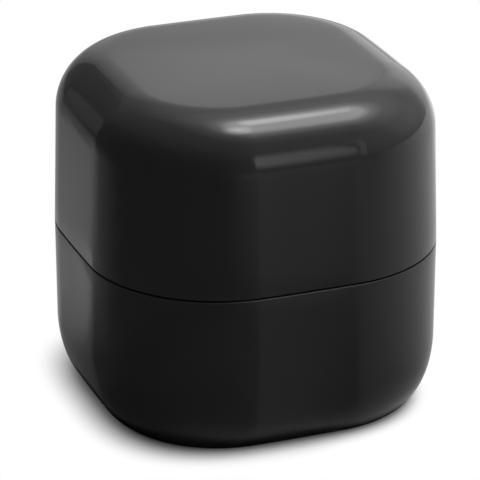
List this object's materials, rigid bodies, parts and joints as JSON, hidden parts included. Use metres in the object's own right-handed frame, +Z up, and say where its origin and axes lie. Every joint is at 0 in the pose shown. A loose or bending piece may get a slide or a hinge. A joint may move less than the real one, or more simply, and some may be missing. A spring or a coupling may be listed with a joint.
{
  "type": "lip balm cube jar",
  "caption": "Rounded cube lip balm jar: gloss black screw cap over a matching base, with a threaded neck and a dome of balm inside.",
  "frame": {"origin": "middle of the foot's plane, which the jar stands on", "axes": "+Z up along the axis that the cap unscrews about, -Y the front face, +X to the right of it"},
  "size_m": [0.037, 0.037, 0.0363],
  "materials": {
    "gloss_shell": "high-gloss black injection-moulded plastic",
    "inner_moulding": "satin black polypropylene",
    "natural_moulding": "natural, slightly milky polypropylene",
    "seal_foam": "soft white closed-cell foam",
    "balm_wax": "smooth cream wax with a soft sheen"
  },
  "bodies": {
    "base": {"base_shell": "gloss_shell", "threaded_collar": "inner_moulding", "balm_support": "natural_moulding", "balm": "balm_wax", "filling_plug": "natural_moulding"},
    "cap_seal": {"cap_seal_ring": "seal_foam"},
    "cap": {"cap_shell": "gloss_shell", "cap_liner": "inner_moulding"}
  },
  "joints": [
    {"name": "cap_lift", "type": "slide", "parent": "base", "child": "cap_seal", "axis": [0, 0, 1], "range_m": [0, 0.018]},
    {"name": "cap_twist", "type": "hinge", "parent": "cap_seal", "child": "cap", "pos_m": [0, 0, 0.01776], "axis": [0, 0, 1], "range_deg": [0, 720]}
  ],
  "couplings": [
    {"joint": "cap_lift", "follows": "cap_twist", "m_per_rad": 0.0014324}
  ]
}
